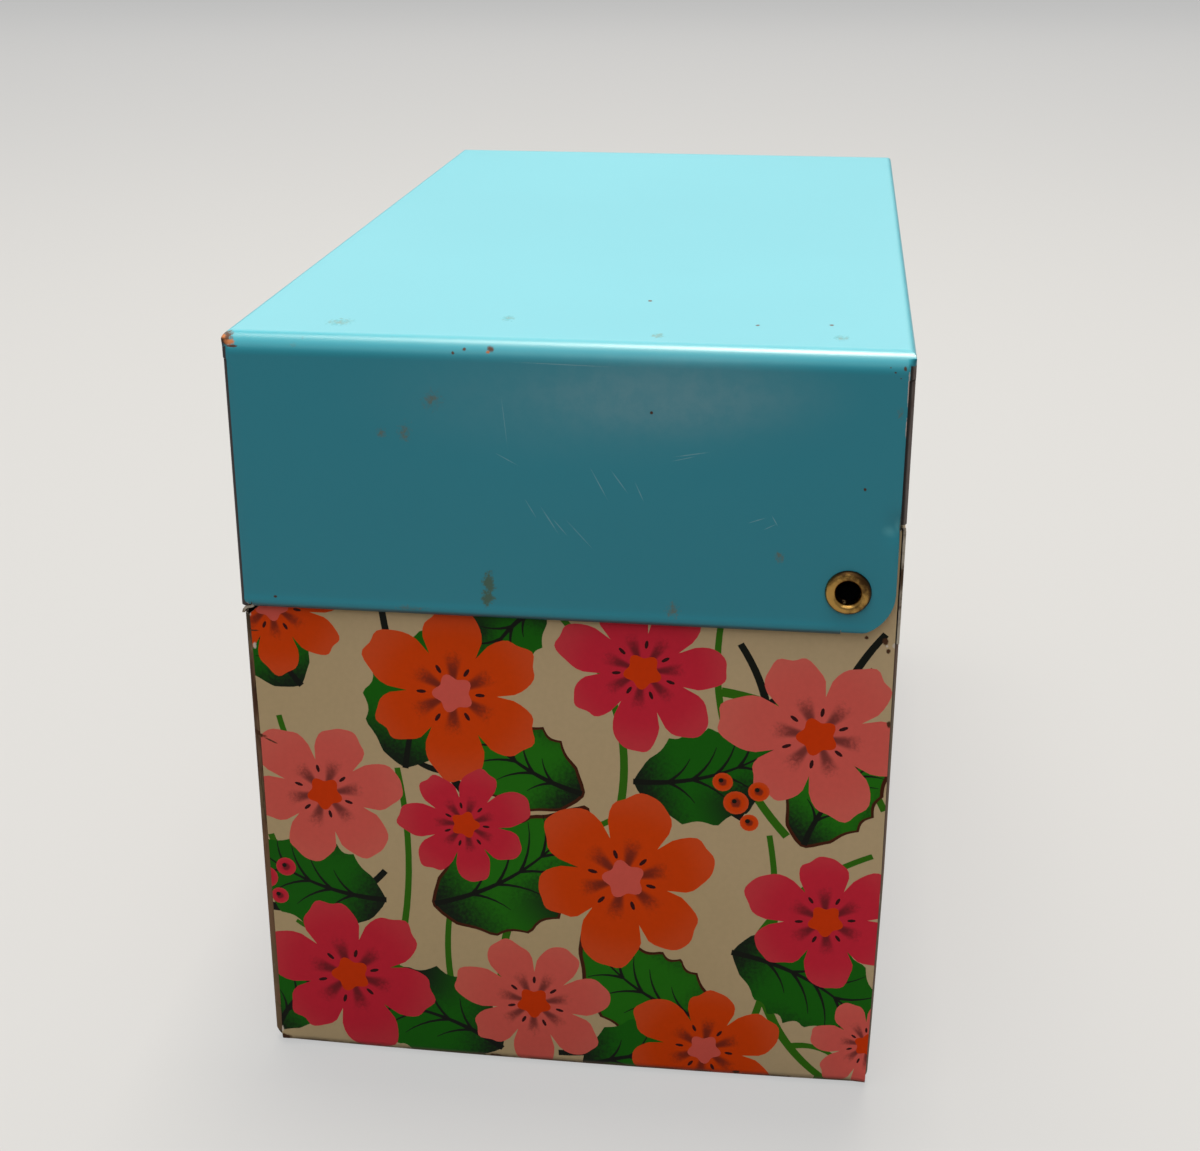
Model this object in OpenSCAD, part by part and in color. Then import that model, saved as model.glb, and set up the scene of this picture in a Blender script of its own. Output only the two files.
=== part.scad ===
// Recipe card box: a folded tinplate box with a lid that turns on two hollow eyelets.
// Millimetres, +Z up. Origin: middle of the underside. X runs along the box, the lid opens
// away from the front wall, which faces -Y. The eyelets are at the rear, near +Y.

/* [Size] */
// outside length, over the lid's end panels
box_l = 138; // [120:1:170]
// outside depth, front wall to rear wall
box_w = 75; // [64:1:110]
// outside height with the lid closed
box_h = 92; // [84:1:120]
// height of the lid at its front and ends
lid_h = 32; // [24:1:40]

/* [Tinplate] */
// sheet thickness
sheet_t = 0.3; // [0.25:0.05:0.5]
// outside radius of the folds from the lid's top to its end panels
end_fold_r = 2.4; // [1.5:0.1:4]
// outside radius of the folds from the lid's top to its long walls
long_fold_r = 0.9; // [0.8:0.1:3]
// outside radius of the upright folds at the corners
corner_r = 1; // [0.8:0.1:2]
// how far the closed corners of the lid reach down below its end folds
cap_low = 0.4; // [0.2:0.1:1]
// how far an end panel's edge stays back from the corner
slit = 0.7; // [0.5:0.05:1.2]
// free gap between a tab and the panel that covers it
tab_gap = 0.1; // [0.05:0.05:0.3]
// free height between the lid's closed corners and the tabs below them
tab_relief = 0.2; // [0.1:0.1:1]
// free gap between the body's end walls and the rear wall's upper part
rear_gap = 0.15; // [0.1:0.05:0.4]
// how far the end walls' lower rear corners stay back from the corner
foot_back = 0.8; // [0.5:0.05:1.2]
// length of the corner tabs
tab_l = 8; // [5:0.5:12]
// height of a folded hem
hem_h = 3; // [2:0.2:4]
// free gap inside a folded hem
hem_gap = 0.1; // [0.05:0.05:0.3]
// free height between a hem's cut edge and the tab above it
hem_clear = 0.6; // [0.3:0.1:1.5]
// how far the hems of the lid's long walls stop short of the corner folds
hem_back = 1; // [0.5:0.1:2]
// how far the rim hems of the body's ends stop short of their edges
rim_hem_back = 1.5; // [1:0.1:3]

/* [Seam] */
// clear space between lid and body along the seam
run_gap = 0.3; // [0.2:0.05:0.6]
// how far the front neck steps in below the lid
neck_in = 1.5; // [1.2:0.1:2.5]
// how far the neck's shoulder lies under the lid's edge
shoulder_drop = 1.1; // [0.9:0.1:2]
// clear gap between the stepped shoulder and the end walls and tabs beside it
step_gap = 0.2; // [0.1:0.05:0.3]
// how far above the pivot the lid's rear wall ends
back_rise = 7.8; // [7:0.1:10]
// how far the body's rim stays under that edge
rim_gap = 0.8; // [0.6:0.1:1.5]

/* [Hinge] */
// radius of the lid's rounded rear corners, about the pivot
hinge_r = 5.2; // [4.5:0.1:7]
// diameter of the hole through each eyelet
eye_hole_d = 2.66; // [2:0.02:4]
// outside diameter of each eyelet's domed flange
eye_flange_d = 5.1; // [4.4:0.1:7]
// outside diameter of each eyelet's rolled inner end
eye_clinch_d = 4.8; // [4:0.1:6.5]
// wall of the eyelets
eye_t = 0.26; // [0.2:0.02:0.4]
// radial running clearance of the lid on the eyelets
hinge_fit = 0.05; // [0.02:0.01:0.1]
// end play of the lid under the flanges
end_play = 0.05; // [0.02:0.01:0.1]
// radial interference of the eyelets in the body
press_fit = 0.01; // [0:0.005:0.03]
// height of the raised seat round each eyelet
seat_h = 0.4; // [0.2:0.1:0.5]
// radius of the raised seat's flat
seat_r = 2.9; // [2.7:0.1:3.4]
// clear gap between the seat and the lid's end hem
seat_clear = 0.4; // [0.2:0.1:1]

/* [Hidden] */
$fn = 96;
steel_colour = [0.36, 0.72, 0.78];
cream_colour = [0.86, 0.82, 0.72];
brass_colour = [0.72, 0.55, 0.26];

// half sizes of the lid
lid_x = box_l / 2;
lid_y = box_w / 2;
// outside radius and thickness of a folded hem
hem_r = sheet_t + hem_gap / 2;
hem_w = 2 * hem_r;
// the body's end walls stand inside the lid's hems
body_x = lid_x - hem_w - run_gap;
body_y = lid_y;
// levels
seam_z = box_h - lid_h;
cap_z = box_h - end_fold_r - cap_low;
// radius of the folds round the floor; the body's corner tabs start above them and end
// below the shoulder
floor_r = corner_r + sheet_t + tab_gap;
tab_z = floor_r + tab_gap;
shoulder_z = seam_z - shoulder_drop;
tab_top_z = shoulder_z - 2 * step_gap;
// pivot
pivot_y = lid_y - slit - hinge_r;
pivot_z = seam_z + hinge_r;
// the lid's rear wall and the body's rim go by the pivot
lid_back_z = pivot_z + back_rise;
rim_z = lid_back_z - rim_gap;
// eyelet
eye_bore_r = eye_hole_d / 2;
eye_barrel_r = eye_bore_r + eye_t;
lid_hole_r = eye_barrel_r + hinge_fit;
body_hole_r = eye_barrel_r - press_fit;
seat_foot_r = seat_r + seat_h;
seat_x = body_x + seat_h;
eye_top_x = lid_x + end_play;
eye_low_x = seat_x - sheet_t;
// the lid's end hems stop clear of the hinge seats
lid_hem_end_y = pivot_y - seat_foot_r - seat_clear;
// neck
neck_y = body_y - neck_in;
neck_arc = neck_in / 2;

// profile in Y and Z, drawn out along X
module along_x(length) {
    rotate([90, 0, 90]) linear_extrude(height = length, center = true) children();
}

// profile in X and Z, drawn out along Y
module along_y(length) {
    rotate([90, 0, 0]) linear_extrude(height = length, center = true) children();
}

// plate in Y and Z whose outer face lies at x
module end_plate(x) {
    translate([x - sheet_t / 2, 0, 0]) along_x(sheet_t) children();
}

// rectangle from one corner to the other
module area(low, high) {
    translate(low) square([high[0] - low[0], high[1] - low[1]]);
}

// rectangle on a level foot with its two upper corners rounded
module arch(half, r, low, high) {
    area([-half, low], [half, high - r]);
    area([r - half, low], [half - r, high]);
    for (s = [0, 1]) {
        mirror([s, 0]) translate([half - r, high - r]) intersection() {
            circle(r = r);
            square(r + 1);
        }
    }
}

// quarter of a folded sheet; r is its outside radius, the quadrant is the first one turned by a
module fold(r, a) {
    rotate(a) intersection() {
        difference() {
            circle(r = r);
            circle(r = r - sheet_t);
        }
        square(r + 1);
    }
}

// hem at the low edge of an upright sheet whose outer face is the line u = 0
module hem() {
    translate([hem_r, hem_r]) fold(hem_r, 180);
    translate([hem_r, hem_r]) fold(hem_r, 270);
    area([hem_w - sheet_t, hem_r], [hem_w, hem_h]);
}

// plan of a block with rounded corners
module rounded_area(half_x, half_y, r) {
    area([-half_x, r - half_y], [half_x, half_y - r]);
    area([r - half_x, -half_y], [half_x - r, half_y]);
    for (i = [0, 1], j = [0, 1]) {
        mirror([i, 0]) mirror([0, j]) translate([half_x - r, half_y - r]) circle(r = r);
    }
}

// block under the lid's folded edges, drawn in on all sides and reaching down to low
module cap_block(drawn_in, low) {
    intersection() {
        along_y(box_w) arch(lid_x - drawn_in, end_fold_r - drawn_in, low, box_h - drawn_in);
        along_x(box_l) arch(lid_y - drawn_in, long_fold_r - drawn_in, low, box_h - drawn_in);
        translate([0, 0, low]) linear_extrude(height = box_h - low)
            rounded_area(lid_x - drawn_in, lid_y - drawn_in, corner_r - drawn_in);
    }
}

// lid top with its folded edges: closed at the corners, open below
module lid_cap() {
    difference() {
        cap_block(0, cap_z);
        cap_block(sheet_t, cap_z - 1);
    }
}

// plan of one long wall at +y with its two corner folds
module wall_plan(face_x, face_y) {
    tab_x = face_x - sheet_t - tab_gap;
    area([corner_r - tab_x, face_y - sheet_t], [tab_x - corner_r, face_y]);
    for (s = [0, 1]) {
        mirror([s, 0]) translate([tab_x - corner_r, face_y - corner_r]) fold(corner_r, 0);
    }
}

// plan of the wall's two tabs, which lie behind the end panels
module tab_plan(face_x, face_y) {
    tab_x = face_x - sheet_t - tab_gap;
    tab_y = face_y - corner_r;
    for (s = [0, 1]) {
        mirror([s, 0]) area([tab_x - sheet_t, tab_y - tab_l], [tab_x, tab_y]);
    }
}

// outline of a lid end panel in Y and Z
module lid_end_outline() {
    area([slit - lid_y, seam_z], [pivot_y, cap_z]);
    area([slit - lid_y, pivot_z], [lid_y - slit, cap_z]);
    translate([pivot_y, pivot_z]) circle(r = hinge_r);
}

// lid end at +x: outer panel with its hem and its hinge hole
module lid_end() {
    hem_low_y = floor_r - lid_y;
    end_plate(lid_x) difference() {
        lid_end_outline();
        area([hem_low_y, seam_z - 1], [lid_hem_end_y, seam_z + hem_r]);
        translate([pivot_y, pivot_z]) circle(r = lid_hole_r);
    }
    translate([lid_x, (hem_low_y + lid_hem_end_y) / 2, seam_z])
        mirror([1, 0, 0]) along_y(lid_hem_end_y - hem_low_y) hem();
}

// long wall of the lid at +y from the level low up to the cap, with its hem and tabs
module lid_long_wall(low) {
    flat_x = lid_x - sheet_t - tab_gap - corner_r;
    hem_x = flat_x - hem_back;
    tab_low = low + hem_h + hem_clear;
    tab_high = cap_z - tab_relief;
    difference() {
        union() {
            translate([0, 0, low]) linear_extrude(height = cap_z - low)
                area([-flat_x, lid_y - sheet_t], [flat_x, lid_y]);
            translate([0, 0, low]) linear_extrude(height = tab_high - low)
                wall_plan(lid_x, lid_y);
        }
        translate([-hem_x, lid_y - 1, low - 1]) cube([2 * hem_x, 2, 1 + hem_r]);
    }
    translate([0, 0, tab_low]) linear_extrude(height = tab_high - tab_low)
        tab_plan(lid_x, lid_y);
    translate([0, lid_y, low]) mirror([0, 1, 0]) along_x(2 * hem_x) hem();
}

module lid_shell() {
    color(steel_colour) union() {
        lid_cap();
        lid_end();
        mirror([1, 0, 0]) lid_end();
        lid_long_wall(lid_back_z);
        mirror([0, 1, 0]) lid_long_wall(seam_z);
    }
}

// outline of a body end wall in Y and Z: wider towards the seam, and cut back at the front to
// follow the shoulder
module body_end_outline() {
    neck_edge_y = neck_y - sheet_t - run_gap;
    rear_edge_y = body_y - sheet_t - rear_gap;
    polygon([
        [floor_r - body_y, floor_r],
        [body_y - foot_back, floor_r],
        [rear_edge_y, shoulder_z],
        [rear_edge_y, rim_z],
        [-neck_edge_y, rim_z],
        [-neck_edge_y, shoulder_z + neck_arc + step_gap],
        [slit - body_y, shoulder_z - step_gap / 2]
    ]);
}

// body end at +x: wall, rim hem and the raised seat for the eyelet
module body_end() {
    hem_half = neck_y - sheet_t - run_gap - rim_hem_back;
    end_plate(body_x) difference() {
        body_end_outline();
        area([-hem_half, rim_z - hem_r], [hem_half, rim_z + 1]);
        translate([pivot_y, pivot_z]) circle(r = seat_foot_r);
    }
    translate([body_x, 0, rim_z]) rotate([0, 180, 0]) along_y(2 * hem_half) hem();
    translate([body_x, pivot_y, pivot_z]) rotate([0, 90, 0]) rotate_extrude() polygon([
        [body_hole_r, seat_h - sheet_t],
        [body_hole_r, seat_h],
        [seat_r, seat_h],
        [seat_foot_r, 0],
        [seat_foot_r, -sheet_t],
        [seat_r, seat_h - sheet_t]
    ]);
}

// front wall profile in depth and height: shoulder, neck and rim hem; u = 0 is the outer face
module neck_profile() {
    mid_z = shoulder_z + 2 * neck_arc;
    r_out = neck_arc + sheet_t / 2;
    translate([r_out, shoulder_z]) fold(r_out, 90);
    translate([r_out, mid_z]) fold(r_out, 270);
    area([neck_in, mid_z], [neck_in + sheet_t, rim_z - hem_r]);
    translate([neck_in, rim_z]) mirror([0, 1]) hem();
}

// floor with its four folds, open at the corners
module tray() {
    flat_x = body_x - floor_r;
    flat_y = body_y - floor_r;
    linear_extrude(height = sheet_t) area([-flat_x, -flat_y], [flat_x, flat_y]);
    for (s = [0, 1]) {
        mirror([s, 0, 0]) along_y(2 * flat_y) translate([flat_x, floor_r]) fold(floor_r, 270);
        mirror([0, s, 0]) along_x(2 * flat_x) translate([flat_y, floor_r]) fold(floor_r, 270);
    }
}

module body_shell() {
    flat_x = body_x - floor_r;
    color(cream_colour) union() {
        tray();
        body_end();
        mirror([1, 0, 0]) body_end();
        // lower part of both long walls with their corner tabs
        for (s = [0, 1]) {
            mirror([0, s, 0]) {
                translate([0, 0, floor_r]) linear_extrude(height = shoulder_z - floor_r)
                    area([-flat_x, body_y - sheet_t], [flat_x, body_y]);
                translate([0, 0, tab_z]) linear_extrude(height = tab_top_z - tab_z) {
                    wall_plan(body_x, body_y);
                    tab_plan(body_x, body_y);
                }
            }
        }
        // stepped neck of the front wall
        translate([0, -body_y, 0]) along_x(2 * body_x) neck_profile();
        // upper part of the rear wall
        translate([0, body_y, rim_z]) mirror([0, 1, 0]) along_x(2 * body_x) {
            mirror([0, 1]) hem();
            area([0, shoulder_z - rim_z], [sheet_t, -hem_r]);
        }
    }
}

// hollow eyelet about X: domed flange outside the lid, rolled end inside the body
module eyelet() {
    flange_arc = (eye_flange_d - eye_hole_d) / 4;
    clinch_arc = (eye_clinch_d - eye_hole_d) / 4;
    color(brass_colour) translate([0, pivot_y, pivot_z]) rotate([0, 90, 0]) rotate_extrude() {
        area([eye_bore_r, eye_low_x], [eye_barrel_r, eye_top_x]);
        translate([eye_bore_r + flange_arc, eye_top_x]) intersection() {
            difference() {
                circle(r = flange_arc);
                circle(r = flange_arc - eye_t);
            }
            area([-flange_arc, 0], [flange_arc, flange_arc + 1]);
        }
        translate([eye_bore_r + clinch_arc, eye_low_x]) intersection() {
            difference() {
                circle(r = clinch_arc);
                circle(r = clinch_arc - eye_t);
            }
            area([-clinch_arc, -clinch_arc - 1], [clinch_arc, 0]);
        }
    }
}

module eyelet_right() {
    eyelet();
}

module eyelet_left() {
    mirror([1, 0, 0]) eyelet();
}

body_shell();
lid_shell();
eyelet_right();
eyelet_left();
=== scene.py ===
import math
import bmesh
import bpy
import numpy as np
from mathutils import Matrix, Vector
from mathutils.geometry import delaunay_2d_cdt


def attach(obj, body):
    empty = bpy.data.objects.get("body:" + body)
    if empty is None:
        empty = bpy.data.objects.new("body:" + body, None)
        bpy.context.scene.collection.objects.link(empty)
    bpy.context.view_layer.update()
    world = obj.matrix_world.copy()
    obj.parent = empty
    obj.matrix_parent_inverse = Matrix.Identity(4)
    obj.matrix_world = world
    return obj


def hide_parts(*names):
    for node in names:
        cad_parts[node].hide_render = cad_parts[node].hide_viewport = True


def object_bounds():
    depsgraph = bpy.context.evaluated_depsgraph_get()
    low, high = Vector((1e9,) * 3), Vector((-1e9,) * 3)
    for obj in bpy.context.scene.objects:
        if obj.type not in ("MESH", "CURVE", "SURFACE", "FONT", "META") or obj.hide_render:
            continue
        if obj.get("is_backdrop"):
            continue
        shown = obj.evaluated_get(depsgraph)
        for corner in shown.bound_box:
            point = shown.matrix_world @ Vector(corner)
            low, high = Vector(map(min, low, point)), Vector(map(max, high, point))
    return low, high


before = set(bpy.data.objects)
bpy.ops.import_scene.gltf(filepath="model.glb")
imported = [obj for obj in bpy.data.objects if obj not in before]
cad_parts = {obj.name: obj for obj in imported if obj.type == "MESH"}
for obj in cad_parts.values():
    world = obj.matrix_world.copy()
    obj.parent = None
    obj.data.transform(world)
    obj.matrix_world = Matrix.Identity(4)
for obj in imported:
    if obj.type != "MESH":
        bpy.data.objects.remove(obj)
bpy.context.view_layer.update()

# Camera. It stands a hand's length from the right-hand end, a little above the lid, and
# looks down along the box.
MM = 0.001
eye = Vector((258.46, 28.18, 140.14)) * MM
rightward = Vector((-0.12521, 0.99213, -0.0003))
upward = Vector((-0.35974, -0.04512, 0.93196))
ahead = Vector((-0.92461, -0.1168, -0.36256))

camera_data = bpy.data.cameras.new("camera")
camera_data.sensor_fit = "HORIZONTAL"
camera_data.sensor_width = 36.0
camera_data.lens = 55.418
camera_data.clip_start = 0.01
camera_data.clip_end = 60.0
camera = bpy.data.objects.new("camera", camera_data)
camera.matrix_world = Matrix((
    (rightward.x, upward.x, -ahead.x, eye.x),
    (rightward.y, upward.y, -ahead.y, eye.y),
    (rightward.z, upward.z, -ahead.z, eye.z),
    (0.0, 0.0, 0.0, 1.0),
))
bpy.context.scene.collection.objects.link(camera)
bpy.context.scene.camera = camera
bpy.context.scene.view_settings.view_transform = "Standard"

# Body. One sheet of printed tinplate, its four walls folded up from the floor. The long
# walls' tabs are tucked behind the ends, the front wall steps in under the lid, and the
# rim is hemmed. Sizes are in millimetres.
TIN = 0.3            # thickness of the sheet
HEM_R = 0.35         # outer radius of a hem
HEM_DROP = 2.65      # flat part of a hem behind its wall
BODY_X, BODY_Y = 68.0, 37.5
FLOOR_R = 1.4        # folds round the floor
FLOOR_X, FLOOR_Y = BODY_X - FLOOR_R, BODY_Y - FLOOR_R
RIM_Z = 72.2
SHOULDER_Z = 58.9
CORNER_R = 1.0       # upright folds of the long walls
TAB = 8.0            # width of the tabs
TAB_LOW_Z, TAB_HIGH_Z = 1.5, 58.5
STEP_R, NECK_R = 0.9, 0.6            # the two bends of the front wall's step
STEP_RISE = STEP_R + NECK_R
END_Y = 37.05                        # rear edge of an end wall
NECK_Y = 35.4                        # its front edge above the step
END_SLOT, LONG_SLOT = 34.0, 67.0     # where the hems end, across the ends and the long walls
PIVOT_Y, PIVOT_Z = 31.6, 65.2
BODY_BORE_R = 1.58
SEAT_R, SEAT_LIFT = 3.3, 0.4         # raised seat round the bore
CREASE = 40.0        # half length of a crease line, past both edges of an end
REPEAT = 75.0        # width of one repeat of the print
PRINT_LIFT = 0.8     # how far the print starts above the floor's fold


def run(length):
    """Straight part of a bent sheet: its length and its curvature."""
    return length, 0.0


def turn(radius, degrees):
    """Folded part of a bent sheet, to the left where degrees is positive."""
    return radius * abs(math.radians(degrees)), math.copysign(1.0 / radius, degrees)


def follow(start, heading, parts, t):
    """Where a bent sheet's outer line has got to after the length t."""
    t = np.asarray(t, float)
    a, b = np.zeros_like(t), np.zeros_like(t)
    point, way, reach = np.array(start, float), math.radians(heading), 0.0
    for number, (length, bend) in enumerate(parts):
        here = t >= reach if number else np.full(t.shape, True)
        step = t - reach
        if bend:
            da = (np.sin(way + bend * step) - math.sin(way)) / bend
            db = (math.cos(way) - np.cos(way + bend * step)) / bend
        else:
            da, db = step * math.cos(way), step * math.sin(way)
        a = np.where(here, point[0] + da, a)
        b = np.where(here, point[1] + db, b)
        if bend:
            point = point + np.array([math.sin(way + bend * length) - math.sin(way),
                                      math.cos(way) - math.cos(way + bend * length)]) / bend
        else:
            point = point + length * np.array([math.cos(way), math.sin(way)])
        way, reach = way + bend * length, reach + length
    return a, b


def fold_levels(parts):
    """Lengths at which a bent sheet's folds begin, end and are divided."""
    levels, reach = [], 0.0
    for length, bend in parts:
        if bend:
            pieces = max(4, round(abs(math.degrees(bend * length)) / 11.25))
            levels += [reach + length * k / pieces for k in range(pieces + 1)]
        reach += length
    return levels


def flat_panel(outline, holes=(), prints=(), lines=(), grid=7.0):
    """Triangles of a flat panel in its own plane. Prints lie one on another, and each
    triangle knows the topmost one that covers it, or -1 for the ground."""
    points, edges, faces = [], [], []
    for loop in [outline, *holes, *[p["outline"] for p in prints]]:
        loop = np.asarray(loop, float)
        x, y = loop.T
        if np.sum(x * np.roll(y, -1) - y * np.roll(x, -1)) < 0:
            loop = loop[::-1]
        faces.append(list(range(len(points), len(points) + len(loop))))
        points += loop.tolist()
    for start, end in lines:
        pieces = max(1, round(math.dist(start, end) / grid))
        edges += [(len(points) + k, len(points) + k + 1) for k in range(pieces)]
        points += np.linspace(start, end, pieces + 1).tolist()
    low, high = np.min(outline, 0), np.max(outline, 0)
    for x in np.arange(low[0] + grid / 2, high[0], grid):
        for y in np.arange(low[1] + grid / 2, high[1], grid):
            points.append([x, y])
    made = delaunay_2d_cdt([Vector(p) for p in points], edges, faces, 0, 1e-4, True)
    corner, triangle, owner = np.array(made[0]), made[2], made[5]
    kept, top = [], []
    for tri, owners in zip(triangle, owner):
        if 0 in owners and not any(1 <= o <= len(holes) for o in owners):
            kept.append(tri)
            top.append(max(owners) - 1 - len(holes))
    kept = np.array(kept)
    used, flat = np.unique(kept, return_inverse=True)
    return corner[used], flat.reshape(kept.shape), [max(o, -1) for o in top], prints


class SheetPart:
    """A part folded from thin sheet: outer skin, inner skin and the cut edges."""

    def __init__(self, ground):
        self.ground = (*ground, 0.0)
        self.points, self.normals, self.faces, self.material = [], [], [], []
        self.ink, self.motif, self.count = [], [], 0

    def _extend(self, points, normals):
        first = self.count
        self.points.append(points)
        self.normals.append(normals)
        self.count += len(points)
        return first

    def _face(self, corners, material, colour, where):
        self.faces.append(corners)
        self.material.append(material)
        self.ink += [colour] * len(corners)
        self.motif += where

    def add(self, panel, place, facing=1, joined=lambda s, t: False):
        corner, triangles, top, prints = panel
        s, t = corner.T
        outer = place(s, t)
        nudge = 0.004
        side = place(s + nudge, t) - place(s - nudge, t)
        rise = place(s, t + nudge) - place(s, t - nudge)
        normal = facing * np.cross(side, rise)
        normal /= np.linalg.norm(normal, axis=1)[:, None]
        inner = outer - TIN * normal
        first = self._extend(outer, normal)
        behind = self._extend(inner, -normal)
        local = [(corner - p["centre"]) @ np.array([[math.cos(p["turn"]), -math.sin(p["turn"])],
                                                    [math.sin(p["turn"]), math.cos(p["turn"])]])
                 / p["size"] for p in prints]
        plain = np.zeros_like(corner)
        once = {}
        for tri, owner in zip(triangles, top):
            way = tri if facing > 0 else tri[::-1]
            colour = self.ground if owner < 0 else prints[owner]["ink"]
            where = plain if owner < 0 else local[owner]
            self._face([first + k for k in way], 0, colour, [where[k] for k in way])
            self._face([behind + k for k in way[::-1]], 1, self.ground, [(0.0, 0.0)] * 3)
            for a, b in ((way[0], way[1]), (way[1], way[2]), (way[2], way[0])):
                key = (min(a, b), max(a, b))
                once[key] = None if key in once else (a, b)
        for a, b in filter(None, once.values()):
            if joined(s[a], t[a]) and joined(s[b], t[b]):
                continue
            rim = np.array([outer[b], outer[a], inner[a], inner[b]])
            across = np.cross(rim[1] - rim[0], rim[3] - rim[0])
            size = np.linalg.norm(across)
            if size < 1e-9:
                continue
            edge = self._extend(rim, np.repeat([across / size], 4, axis=0))
            self._face([edge, edge + 1, edge + 2, edge + 3], 2, self.ground, [(0.0, 0.0)] * 4)

    def make(self, name, *materials):
        mesh = bpy.data.meshes.new(name)
        points = np.concatenate(self.points) * MM
        mesh.from_pydata(points.tolist(), [], [list(map(int, f)) for f in self.faces], False)
        mesh.polygons.foreach_set("material_index", self.material)
        ink = mesh.color_attributes.new("ink", "FLOAT_COLOR", "CORNER")
        ink.data.foreach_set("color", np.array(self.ink, np.float32).ravel())
        motif = mesh.uv_layers.new(name="motif")
        motif.data.foreach_set("uv", np.array(self.motif, np.float32).ravel())
        for material in materials:
            mesh.materials.append(material)
        mesh.update()
        mesh.normals_split_custom_set_from_vertices(np.concatenate(self.normals).tolist())
        made = bpy.data.objects.new(name, mesh)
        bpy.context.scene.collection.objects.link(made)
        return made


def ink(red, green, blue, kind):
    """Printing ink from screen values, with the kind of shading it gets."""
    def linear(v):
        v /= 255.0
        return v / 12.92 if v <= 0.04045 else ((v + 0.055) / 1.055) ** 2.4
    return linear(red), linear(green), linear(blue), kind


# how an ink is shaded: flat, airbrushed along a leaf, or round a blossom's heart, where
# the hundredths give the number of petals
FLAT, LEAF, PETAL = 0.1, 0.3, 0.5
cream = ink(206, 180, 140, 0.0)[:3]
orange = ink(230, 70, 0, PETAL)
rose = ink(218, 40, 62, PETAL)
pink = ink(234, 100, 90, PETAL)
heart_pink = ink(234, 98, 86, FLAT)
heart_orange = ink(228, 62, 0, FLAT)
seed_dark = ink(52, 10, 12, FLAT)
leaf_green = ink(20, 102, 4, LEAF)
leaf_bright = ink(34, 118, 10, LEAF)
stem_green = ink(52, 112, 10, FLAT)
night_green = ink(8, 12, 3, FLAT)
border_brown = ink(70, 26, 4, FLAT)


def oval(centre, length, width, angle, colour, points):
    a = np.linspace(0, 2 * math.pi, points, endpoint=False)
    shape = np.stack([length * np.cos(a), width * np.sin(a)], 1)
    spin = np.array([[math.cos(angle), math.sin(angle)], [-math.sin(angle), math.cos(angle)]])
    return dict(outline=shape @ spin + centre, ink=colour, centre=np.array(centre),
                turn=angle, size=length)


def blossom(centre, size, petals, angle, colour):
    """Round-petalled blossom with a scalloped heart and a ring of seeds."""
    centre = np.array(centre, float)
    a = np.linspace(0, 2 * math.pi, petals * 20, endpoint=False)
    lobe = np.abs(np.cos(petals * a / 2)) ** 0.5
    hand_drawn = (1 + 0.055 * np.sin(2 * a + size) + 0.045 * np.sin(3 * a + 2 * angle)
                  + 0.018 * np.sin(17 * a + 3 * size) + 0.012 * np.sin(23 * a + angle))
    radius = size * (0.5 + 0.5 * lobe) * hand_drawn
    b = a + angle
    shape = centre + radius[:, None] * np.stack([np.cos(b), np.sin(b)], 1)
    shaded = (*colour[:3], PETAL + petals / 100)
    made = [dict(outline=shape, ink=shaded, centre=centre, turn=angle, size=size)]
    c = np.linspace(0, 2 * math.pi, 40, endpoint=False)
    rough = size * 0.2 * (1 + 0.16 * np.sin(5 * c + size))
    core = centre + rough[:, None] * np.stack([np.cos(c), np.sin(c)], 1)
    heart = heart_pink if colour is orange else heart_orange
    made.append(dict(outline=core, ink=heart, centre=centre, turn=0.0, size=size))
    for k in range(petals):
        way = angle + 2 * math.pi * (k + 0.5) / petals
        reach = size * (0.32 + 0.03 * math.sin(5 * k + size))
        spot = centre + reach * np.array([math.cos(way), math.sin(way)])
        made.append(oval(spot, size * 0.055, size * 0.022, way, seed_dark, 8))
    return made


def ribbon(points, width_start, width_end, colour):
    """Narrow tapered strip along a line: a stem, a midrib or a vein."""
    points = np.asarray(points, float)
    way = np.gradient(points, axis=0)
    way /= np.linalg.norm(way, axis=1)[:, None]
    side = np.stack([-way[:, 1], way[:, 0]], 1)
    half = np.linspace(width_start, width_end, len(points))[:, None] / 2
    shape = np.concatenate([points + side * half, (points - side * half)[::-1]])
    return dict(outline=shape, ink=colour, centre=points[0], turn=0.0, size=10.0)


def arc_between(start, end, bow, steps=22):
    """Line from start to end that bows out to its left."""
    start, end = np.array(start, float), np.array(end, float)
    f = np.linspace(0, 1, steps)[:, None]
    left = np.array([-(end - start)[1], (end - start)[0]])
    return start + (end - start) * f + left * bow * 4 * f * (1 - f)


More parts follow.
